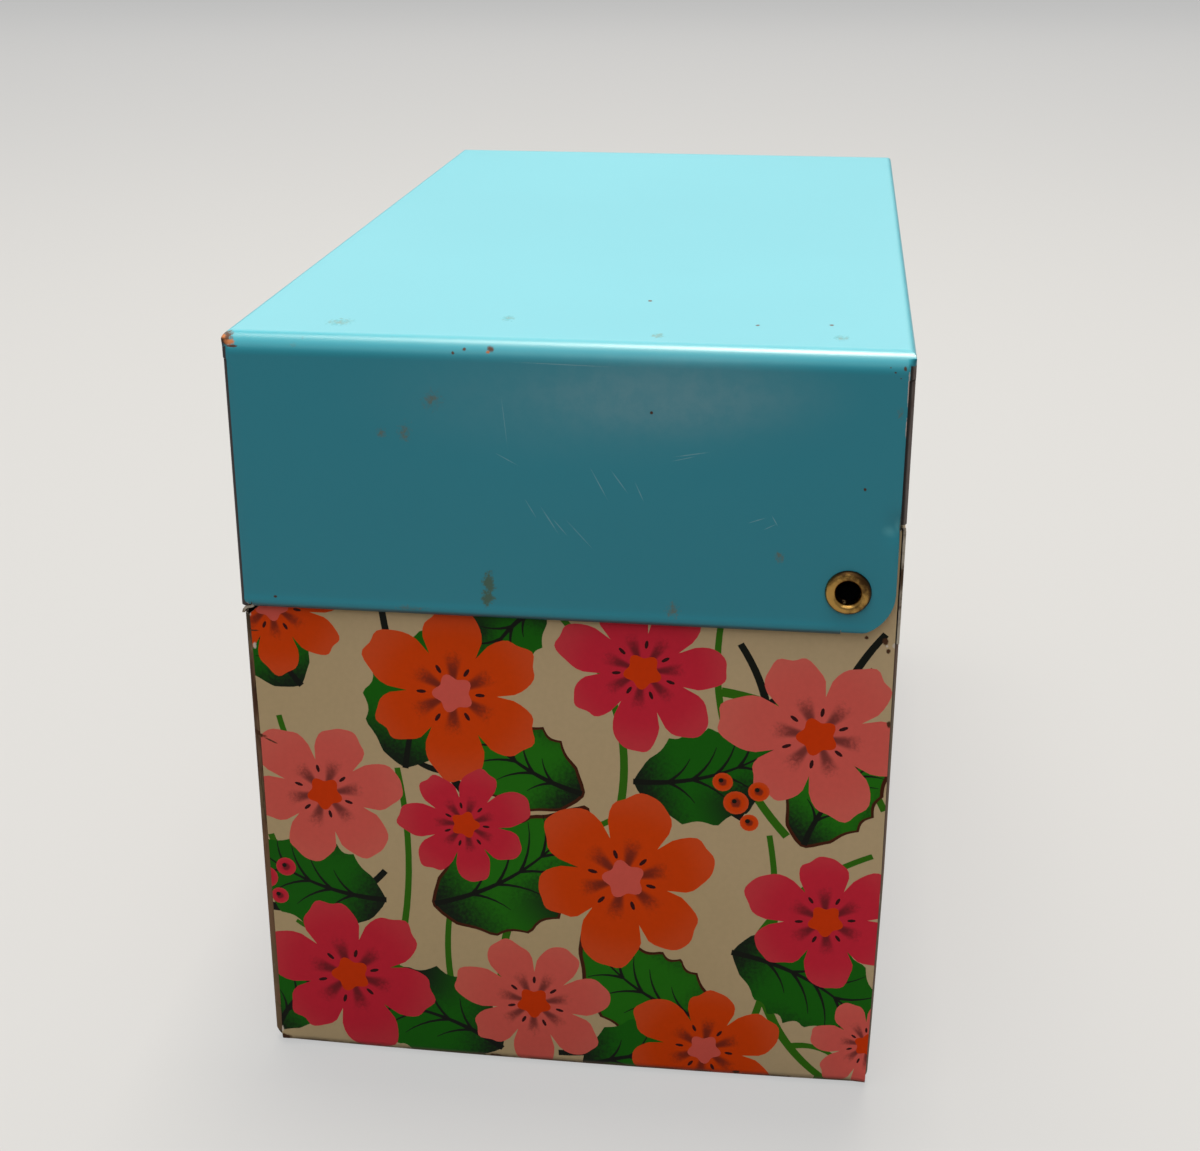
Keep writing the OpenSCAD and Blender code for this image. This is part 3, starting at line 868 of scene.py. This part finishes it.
lid = SheetPart((1.0, 1.0, 1.0))
for side in (1, -1):
    half = [(cap_reach(LONG_R, LID_Y, z), length_down(END_R, z)) for z in cap_levels]
    round_corner = [(PIVOT_Y + REAR_R * math.cos(a),
                     length_down(END_R, max(PIVOT_Z + REAR_R * math.sin(a), SEAM_Z + RAW_RISE)))
                    for a in np.linspace(0, -math.pi / 2, 19)]
    cap, bottom = length_down(END_R, CAP_Z), sum(p[0] for p in end_drop)
    curl, raw = length_down(END_R, SEAM_Z + ROLL_DROP), length_down(END_R, SEAM_Z + RAW_RISE)
    lip = curl + end_hem[0][0] + end_hem[1][0] + 0.4
    rear = half + [(PANEL_Y, cap)] + round_corner + [
        (HEM_REAR_Y + 0.02, raw), (HEM_REAR_Y + 0.02, curl), (HEM_REAR_Y - 0.02, curl),
        (HEM_REAR_Y - 0.02, lip), (28.4, lip), (27.9, bottom)]
    front = [(-35.9, bottom), (-35.9, curl), (-36.0, curl), (-36.0, raw), (-36.3, raw - 0.04),
             (-36.62, raw - 0.22), (-PANEL_Y, raw - 0.6), (-PANEL_Y, cap)]
    front += [(-s, t) for s, t in half[::-1]]
    outline = np.array(rear + front) * (side, 1)
    hole = circle(side * PIVOT_Y, length_down(END_R, PIVOT_Z), LID_BORE_R)
    flared = (60.7, 60.85, 61.0, 61.15, 61.3, 61.5, 61.75, 62.1, 62.6)
    levels = [length_down(END_R, z) for z in cap_levels[1:]] + fold_levels(end_drop)[9:]
    levels += [length_down(END_R, z) for z in flared]
    dented = [length_down(END_R, 75.8 - 0.6 * k) for k in range(11)]
    lines = [((-CREASE, t), (CREASE, t)) for t in levels]
    lines += [((k * ROUND_Y, 0), (k * ROUND_Y, cap)) for k in (1, -1)]
    lines += [((side * 32.4, t), (side * (PANEL_Y - 0.01), t)) for t in dented]
    lines += [((side * y, dented[0]), (side * y, dented[-1]))
              for y in (32.4, 33.0, 33.6, 34.2, 34.8, 35.3, 35.8, 36.3)]
    panel = flat_panel(outline, [hole], (), lines, 4.0)
    lid.add(panel, place_lid_end(side), -1, on_mitre(END_R, TOP_Y))

for side, drop, low in ((-1, front_drop, SEAM_Z), (1, back_drop, BACK_Z)):
    half = [(cap_reach(END_R, LID_X, z), length_down(LONG_R, z)) for z in cap_levels]
    cap, tab_top = length_down(LONG_R, CAP_Z), length_down(LONG_R, TAB_TOP)
    tab_low, raw = length_down(LONG_R, low + LID_TAB_RISE), length_down(LONG_R, low)
    curl, bottom = length_down(LONG_R, low + HEM_R), sum(p[0] for p in drop)
    fold = LID_FLAT_X + turn(CORNER_R, 90)[0]
    outline = mirrored(half + [
        (LID_FLAT_X, cap), (LID_FLAT_X, tab_top), (fold + TAB, tab_top), (fold + TAB, tab_low),
        (fold, tab_low), (fold, raw), (LID_SLOT + 0.05, raw), (LID_SLOT + 0.05, curl),
        (LID_SLOT - 0.05, curl), (LID_SLOT - 0.05, bottom)])
    levels = [length_down(LONG_R, z) for z in cap_levels[1:]] + fold_levels(drop)[9:]
    lines = [((-fold - TAB - 1, t), (fold + TAB + 1, t)) for t in levels]
    lines += [((k * ROUND_X, 0), (k * ROUND_X, cap)) for k in (1, -1)]
    lines += corner_lines(LID_FLAT_X, tab_top, raw)
    panel = flat_panel(outline, (), (), lines, 6.0)
    lid.add(panel, place_lid_long(side, drop), -1, on_mitre(LONG_R, TOP_X))


def place_top(s, t):
    return lid_spring(np.stack([s, t, LID_Z + 0 * s], 1))


lid.add(flat_panel(rectangle(TOP_X, TOP_Y), grid=5.0), place_top, 1,
        lambda s, t: abs(s) > TOP_X - 1e-3 or abs(t) > TOP_Y - 1e-3)


def turquoise_enamel():
    """Stoved gloss enamel, aged: chips and rust on the folds, stains, fine scratches, a painted
    sheen on the near end, a painted glint at a knock, painted shade under the rolled edge and
    enamel gone from the upright folds beside the slits, with painted shade in the slits."""
    f = Finish("turquoise_enamel")
    where = f.place()
    cloud = f.noise(where, 16.0, 3.0, 0.5)
    colour = f.mix(f.ramp(cloud, 0.3, 0.7), (0.024, 0.268, 0.352), (0.028, 0.280, 0.366))
    # painted sheen: a pale reflection painted on the upper middle of the near end, broken into fine wipe
    # marks
    sheen_broad = f.marks(on_end(LID_X, ((4.0, 86.0, 1.5, 32.0, 9.0, 0),)), 0.0)
    sheen_core = f.marks(on_end(LID_X, ((13.0, 86.8, 1.5, 21.0, 6.0, 2),)), 0.1)
    wiped = f.ramp(f.noise(where, 480.0, 4.0, 0.7), 0.3, 0.7, 0.75, 1.1)
    painted_sheen = f.times(f.plus(f.times(sheen_broad, 0.07), f.times(sheen_core, 0.10)), wiped)
    stain = f.marks(on_end(LID_X, (
        (-14.1, 85.3, 1.5, 1.2, 1.3, 0), (-17.2, 81.6, 1.5, 0.9, 1.2, 0),
        (-19.9, 81.5, 1.5, 0.7, 0.7, 0), (-17.1, 60.9, 1.5, 2.0, 0.4, 0),
        (12.4, 62.0, 1.5, 1.0, 1.2, 0), (24.0, 69.0, 1.5, 0.6, 0.8, 0),
        (-29.2, 90.9, 1.2, 0.45, 0.3, 0), (36.1, 85.7, 1.2, 0.4, 0.8, 0))) + [
        ((62.2, -25.7, LID_Z), (2.0, 1.6, 1.0), 0), ((58.0, -7.5, LID_Z), (1.4, 0.8, 1.0), 0),
        ((62.7, 29.6, LID_Z), (1.3, 1.0, 1.0), 0), ((64.0, 10.0, LID_Z), (1.2, 1.0, 1.0), 0)],
        0.1, 3.0, 2400.0)
    blotch = f.ramp(f.noise(where, 1400.0, 3.0, 0.7), 0.4, 0.6, 0.2, 0.7)
    streak = f.marks(on_end(LID_X, ((-8.3, 64.3, 1.5, 0.8, 1.7, 8), (-8.5, 62.8, 1.5, 0.7, 1.6, -6))),
                     0.4, 2.8, 1500.0)
    rust = f.marks(on_end(LID_X, (
        (-7.6, 91.1, 1.2, 0.5, 0.42, 0), (-10.5, 91.0, 1.2, 0.26, 0.2, 0),
        (-11.7, 90.6, 1.2, 0.24, 0.2, 0), (36.3, 90.4, 1.2, 0.22, 0.3, 0),
        (35.3, 90.0, 1.0, 0.15, 0.11, 0), (35.9, 89.4, 1.0, 0.12, 0.1, 0),
        (34.8, 90.5, 1.0, 0.1, 0.1, 0), (-33.1, 61.5, 1.5, 0.24, 0.2, 0),
        (9.8, 84.8, 1.0, 0.2, 0.2, 0), (32.8, 77.1, 1.0, 0.18, 0.22, 0))) + [
        ((68.3, -37.1, 91.3), (1.8, 1.2, 0.95), 0), ((68.9, -36.1, 90.6), (0.9, 0.8, 0.16), 0),
        ((68.3, -28.4, LID_Z), (0.7, 0.22, 0.6), 0), ((47.1, 7.4, LID_Z), (0.5, 0.3, 1.0), 0),
        ((57.9, 20.4, LID_Z), (0.4, 0.3, 1.0), 0), ((56.9, 28.5, LID_Z), (0.4, 0.3, 1.0), 0)],
        0.5, 1.6)
    fresh_rust = f.marks((((68.7, -36.5, 91.0), (1.0, 0.75, 0.4), 0),
                          ((68.2, -37.2, 91.5), (0.9, 0.4, 0.3), 0),
                          ((LID_X, -7.9, 90.8), (1.2, 0.3, 0.2), 0)), 0.5, 1.8)
    pale = f.marks(on_end(LID_X, (
        (-36.6, 60.4, 1.2, 0.4, 0.4, 0), (36.76, 88.4, 0.6, 0.1, 2.4, 0),
        (36.76, 84.0, 0.6, 0.08, 1.4, 0))) + [
        ((68.5, -37.0, 92.05), (1.0, 0.6, 0.3), 0), ((68.9, -36.6, 90.85), (0.8, 0.22, 0.24), 0)],
        0.4, 1.6)
    scratch = f.marks(on_end(LID_X, (
        (-1.3, 72.1, 1, 0.09, 2.2, 32), (-0.2, 71.4, 1, 0.07, 1.6, 40),
        (4.2, 76.5, 1, 0.08, 2.4, 28), (6.4, 76.9, 1, 0.08, 2.0, 36),
        (8.6, 75.8, 1, 0.07, 1.5, 24), (23.3, 73.2, 1, 0.07, 0.9, 30),
        (-6.0, 79.0, 1, 0.06, 1.8, 62), (14.2, 80.3, 1, 0.08, 2.4, -80),
        (13.4, 79.8, 1, 0.06, 1.7, -76), (21.4, 73.1, 1, 0.07, 1.3, -70),
        (2.0, 70.6, 1, 0.06, 2.6, 42), (-3.4, 73.4, 1, 0.06, 1.5, 30),
        (-6.2, 83.5, 1, 0.05, 3.4, 6), (0.4, 89.75, 1.2, 6.4, 0.07, -1),
        (22.8, 72.4, 1, 0.06, 0.9, -62))), 0.2, 0.6)
    # a painted highlight: paler at the knock's dent as a glint; painted shade: dark where the lower edge
    # rolls under
    painted_glint = f.marks(on_end(LID_X, ((35.7, 72.4, 1.0, 1.2, 0.9, -20), (36.5, 73.0, 1.0, 0.5, 1.4, 0))),
                       0.0, 0.3)
    x, y, z = f.split(where)
    out, wide = f.math("ABSOLUTE", x), f.math("ABSOLUTE", y)
    # painted shade along the rolled-under lower edge
    rolled = f.times(f.ramp(z, 60.75 * MM, 60.3 * MM), f.over(out, 67.3 * MM))
    for amount, tint in (
            (painted_sheen, (0.62, 0.66, 0.66)), (f.times(stain, blotch), (0.17, 0.15, 0.09)),
            (f.times(streak, 0.8), (0.09, 0.12, 0.05)), (f.times(scratch, 0.34), (0.45, 0.62, 0.66)),
            (f.times(painted_glint, 0.35), (0.16, 0.52, 0.58)), (f.times(rolled, 0.75), (0.01, 0.05, 0.06)),
            (pale, (0.62, 0.50, 0.44)), (rust, (0.065, 0.024, 0.012)),
            (fresh_rust, (0.36, 0.12, 0.035))):
        colour = f.mix(amount, colour, tint)
    # the upright folds below the mitre: bare browned metal, with painted shade near black in the slits
    # and over the whole front fold
    behind_panel = f.times(f.below(out, 68.66 * MM), f.over(wide, 36.2 * MM), f.below(z, CAP_Z * MM))
    fringe = f.times(f.minus(f.noise(where, 1200.0, 3.0, 0.6), 0.5), 0.9 * MM)
    strip = f.times(f.most(f.over(wide, 36.87 * MM), behind_panel), f.over(out, 67.3 * MM),
                    f.ramp(f.plus(z, fringe), 90.75 * MM, 90.55 * MM))
    rear = f.mix(f.ramp(f.streaks(where, 0.15), 0.4, 0.62), (0.10, 0.065, 0.05), (0.19, 0.16, 0.15))
    rear = f.mix(f.ramp(wide, 37.25 * MM, 37.0 * MM), rear, (0.012, 0.008, 0.007))
    colour = f.mix(strip, colour, f.mix(f.over(y, 0.0), (0.05, 0.042, 0.045), rear))
    worn = f.most(rust, stain, f.times(scratch, 0.4), strip, streak)
    height = f.minus(f.noise(where, 60.0, 1.0, 0.5), f.times(f.most(rust, scratch), 0.3))
    return f.shell({"Base Color": colour, "Roughness": f.plus(0.3, f.times(worn, 0.4)),
                    "IOR": 1.4, "Normal": f.relief(height, 0.05)})


lid_piece = lid.make("lid", turquoise_enamel(), inside_finish, edge_finish)
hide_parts("lid_shell")
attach(lid_piece, "lid")

# Eyelets. Two hollow brass eyelets: each passes through the lid and the raised seat of the
# body, with a domed flange outside and its inner end rolled over.


def aged_brass():
    """Brass that has browned, most on the sheltered upper rear of the roll."""
    f = Finish("aged_brass")
    where = f.place()
    _, y, z = f.split(where)
    aside, above = f.minus(y, PIVOT_Y * MM), f.minus(z, PIVOT_Z * MM)
    lean = f.plus(f.times(aside, 90.0), f.times(above, 50.0))
    reach = f.math("SQRT", f.plus(f.times(aside, aside), f.times(above, above)))
    outer = f.times(f.ramp(reach, 2.05 * MM, 2.6 * MM), 0.26)
    dark = f.ramp(f.plus(f.noise(where, 700.0, 4.0, 0.65), lean, outer), 0.40, 0.80)
    colour = f.mix(dark, (0.41, 0.235, 0.062), (0.055, 0.028, 0.010))
    rough = f.ramp(dark, 0.0, 1.0, 0.2, 0.36)
    grain = f.noise(where, 1500.0, 2.0, 0.5)
    return f.shell({"Base Color": colour, "Metallic": 1.0, "Roughness": rough,
                    "Normal": f.relief(grain, 0.15, 0.0002)})


def rolled_eyelet_tree():
    """Revolves the eyelet's section about X and sets one at each end of the pivot line.
    The section runs from the flange's rim over its dome, through the bore and out round
    the rolled end, and comes back the same way one wall thickness behind."""
    tree = bpy.data.node_groups.new("rolled_eyelet", "GeometryNodeTree")
    for name, kind in (("Bore Radius", "Float"), ("Flange Arc", "Float"), ("Roll Arc", "Float"),
                       ("Wall", "Float"), ("Flange Level", "Float"), ("Roll Level", "Float"),
                       ("Pivot", "Vector"), ("Steps Along", "Int"), ("Steps Round", "Int"),
                       ("Material", "Material")):
        tree.interface.new_socket(name, in_out="INPUT", socket_type="NodeSocket" + kind)
    tree.interface.new_socket("Geometry", in_out="OUTPUT", socket_type="NodeSocketGeometry")
    given = tree.nodes.new("NodeGroupInput").outputs

    def calc(operation, *values, clamp=False):
        return add_node(tree, "ShaderNodeMath", values, operation=operation, use_clamp=clamp)

    along, around = given["Steps Along"], given["Steps Round"]
    columns = calc("ADD", around, 1.0)
    index = add_node(tree, "GeometryNodeInputIndex")
    turned = calc("MULTIPLY", calc("DIVIDE", calc("MODULO", index, columns), around), 2 * math.pi)
    share = calc("DIVIDE", calc("FLOOR", calc("DIVIDE", index, columns)), along)
    back = calc("GREATER_THAN", share, 0.5)
    path = calc("SUBTRACT", 1.0, calc("ABSOLUTE", calc("SUBTRACT", 1.0,
                                                       calc("MULTIPLY", share, 2.0))))
    path = calc("MULTIPLY", path, 3.0)
    over = calc("MULTIPLY", calc("MULTIPLY", path, 1.0, clamp=True), math.pi)
    down = calc("SUBTRACT", path, 1.0, clamp=True)
    under = calc("MULTIPLY", calc("SUBTRACT", path, 2.0, clamp=True), math.pi)
    behind = calc("MULTIPLY", back, given["Wall"])
    dome = calc("SUBTRACT", given["Flange Arc"], behind)
    roll = calc("SUBTRACT", given["Roll Arc"], behind)
    radius = calc("ADD", calc("ADD", given["Bore Radius"], behind),
                  calc("ADD", calc("MULTIPLY", dome, calc("ADD", 1.0, calc("COSINE", over))),
                       calc("MULTIPLY", roll, calc("SUBTRACT", 1.0, calc("COSINE", under)))))
    height = calc("SUBTRACT", given["Flange Level"], given["Roll Level"])
    level = calc("SUBTRACT", calc("ADD", given["Flange Level"],
                                  calc("MULTIPLY", dome, calc("SINE", over))),
                 calc("ADD", calc("MULTIPLY", height, down),
                      calc("MULTIPLY", roll, calc("SINE", under))))
    where = add_node(tree, "ShaderNodeCombineXYZ", (
        level, calc("MULTIPLY", radius, calc("COSINE", turned)),
        calc("MULTIPLY", radius, calc("SINE", turned))))
    sheet = add_node(tree, "GeometryNodeMeshGrid",
                     {"Vertices X": calc("ADD", along, 1.0), "Vertices Y": columns})
    ring = add_node(tree, "GeometryNodeSetPosition", {"Geometry": sheet, "Position": where})
    ring = add_node(tree, "GeometryNodeMergeByDistance", {"Geometry": ring, "Distance": 1e-6})
    ends = add_node(tree, "GeometryNodeMeshLine", {"Count": 2, "Start Location": given["Pivot"],
                                                   "Offset": (0.0, 0.0, 0.0)})
    half_turn = add_node(tree, "ShaderNodeCombineXYZ", (
        0.0, 0.0, calc("MULTIPLY", add_node(tree, "GeometryNodeInputIndex"), math.pi)))
    pair = add_node(tree, "GeometryNodeInstanceOnPoints",
                    {"Points": ends, "Instance": ring, "Rotation": half_turn})
    pair = add_node(tree, "GeometryNodeRealizeInstances", {"Geometry": pair})
    pair = add_node(tree, "GeometryNodeSetMaterial",
                    {"Geometry": pair, "Material": given["Material"]})
    add_node(tree, "NodeGroupOutput", {"Geometry": pair})
    return tree


eyelet_tree = rolled_eyelet_tree()
eyelet_sizes = {"Bore Radius": 1.33 * MM, "Flange Arc": 0.61 * MM, "Roll Arc": 0.535 * MM,
                "Wall": 0.26 * MM, "Flange Level": 69.05 * MM, "Roll Level": 68.1 * MM,
                "Pivot": (0.0, PIVOT_Y * MM, PIVOT_Z * MM), "Steps Along": 96,
                "Steps Round": 96, "Material": aged_brass()}
seed_mesh = bpy.data.meshes.new("eyelet_seed")
eyelet_maker = bpy.data.objects.new("eyelet_maker", seed_mesh)
bpy.context.scene.collection.objects.link(eyelet_maker)
revolve = eyelet_maker.modifiers.new("revolve", "NODES")
revolve.node_group = eyelet_tree
for socket in eyelet_tree.interface.items_tree:
    if socket.in_out == "INPUT":
        revolve[socket.identifier] = eyelet_sizes[socket.name]
ready = eyelet_maker.evaluated_get(bpy.context.evaluated_depsgraph_get())
eyelet_mesh = bpy.data.meshes.new_from_object(ready)
bpy.data.objects.remove(eyelet_maker)
outward = bmesh.new()
outward.from_mesh(eyelet_mesh)
bmesh.ops.recalc_face_normals(outward, faces=outward.faces)
outward.to_mesh(eyelet_mesh)
outward.free()
eyelet_mesh.shade_smooth()
eyelet_mesh.name = "eyelets"
eyelets = bpy.data.objects.new("eyelets", eyelet_mesh)
bpy.context.scene.collection.objects.link(eyelets)
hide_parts("eyelet_right", "eyelet_left")
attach(eyelets, "body")

# Floor. A plain pale sheet of studio paper under the box, which keeps its shadow. Seen
# directly or in gloss it glows a little, so that it stays pale.
FLOOR_SPAN = 9.0     # metres from the middle to each edge
ground_mesh = bpy.data.meshes.new("ground")
ground_mesh.from_pydata([(x, y, 0) for x, y in rectangle(FLOOR_SPAN, FLOOR_SPAN)], [],
                        [(0, 1, 2, 3)])
ground = bpy.data.objects.new("ground", ground_mesh)
bpy.context.scene.collection.objects.link(ground)
f = Finish("pale_ground")
rays = f.add("LightPath").node.outputs
seen = f.most(rays["Is Camera Ray"], rays["Is Glossy Ray"], rays["Is Transmission Ray"])
matt = f.add("BsdfDiffuse", {"Color": f.mix(seen, (0.16, 0.16, 0.16), (0.30, 0.30, 0.30))})
backing = f.add("Emission", {"Color": (0.84, 0.84, 0.835, 1), "Strength": 1.0})
f.add("OutputMaterial", {"Surface": f.add("MixShader", (f.times(seen, 0.58), matt, backing))})
ground_mesh.materials.append(f.material)
ground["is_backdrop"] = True

# Lights. A long soft lamp overhead with two smaller ones beside it, a wide one in front,
# another behind the box that the lid's gloss mirrors, and a low even fill from the world.


def soft_lamp(name, place, aim, width, height, watts, colour):
    lamp = bpy.data.lights.new(name, "AREA")
    lamp.color = colour
    lamp.shape = "RECTANGLE"
    lamp.size, lamp.size_y, lamp.energy = width, height, watts
    made = bpy.data.objects.new(name, lamp)
    made.location = place
    made.rotation_euler = (Vector(aim) - Vector(place)).to_track_quat("-Z", "Y").to_euler()
    bpy.context.scene.collection.objects.link(made)


soft_lamp("overhead", (-0.22, 0.0, 0.88), (-0.21, 0.0, 0.0), 0.48, 1.0, 4.6, (1.0, 0.90, 0.70))
soft_lamp("key", (-0.13, 0.03, 0.87), (-0.12, 0.03, 0.0), 0.15, 0.30, 7.2, (1.0, 0.92, 0.80))
soft_lamp("second_key", (-0.13, -0.2, 0.87), (-0.12, -0.2, 0.0), 0.28, 0.30, 2.6, (1.0, 0.92, 0.80))
soft_lamp("front", (0.5, 0.0, 0.9), (0.0, 0.0, 0.06), 1.0, 1.0, 4.8, (0.97, 0.99, 1.0))
soft_lamp("behind", (-1.25, -0.1, 0.81), (0.0, 0.0, 0.08), 1.5, 0.9, 7.4, (1.0, 0.94, 0.86))

world = bpy.data.worlds.new("studio")
world.use_nodes = True
bpy.context.scene.world = world
sky = world.node_tree
sky.nodes.clear()
rays = add_node(sky, "ShaderNodeLightPath").node.outputs
seen = add_node(sky, "ShaderNodeMath", (rays["Is Camera Ray"], rays["Is Glossy Ray"]),
                operation="MAXIMUM")
seen = add_node(sky, "ShaderNodeMath", (seen, rays["Is Transmission Ray"]), operation="MAXIMUM")
level = add_node(sky, "ShaderNodeMapRange", {"Value": seen, "To Min": 0.25, "To Max": 0.5})
glow = add_node(sky, "ShaderNodeBackground", {"Strength": level})
add_node(sky, "ShaderNodeOutputWorld", {"Surface": glow})

low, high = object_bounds()
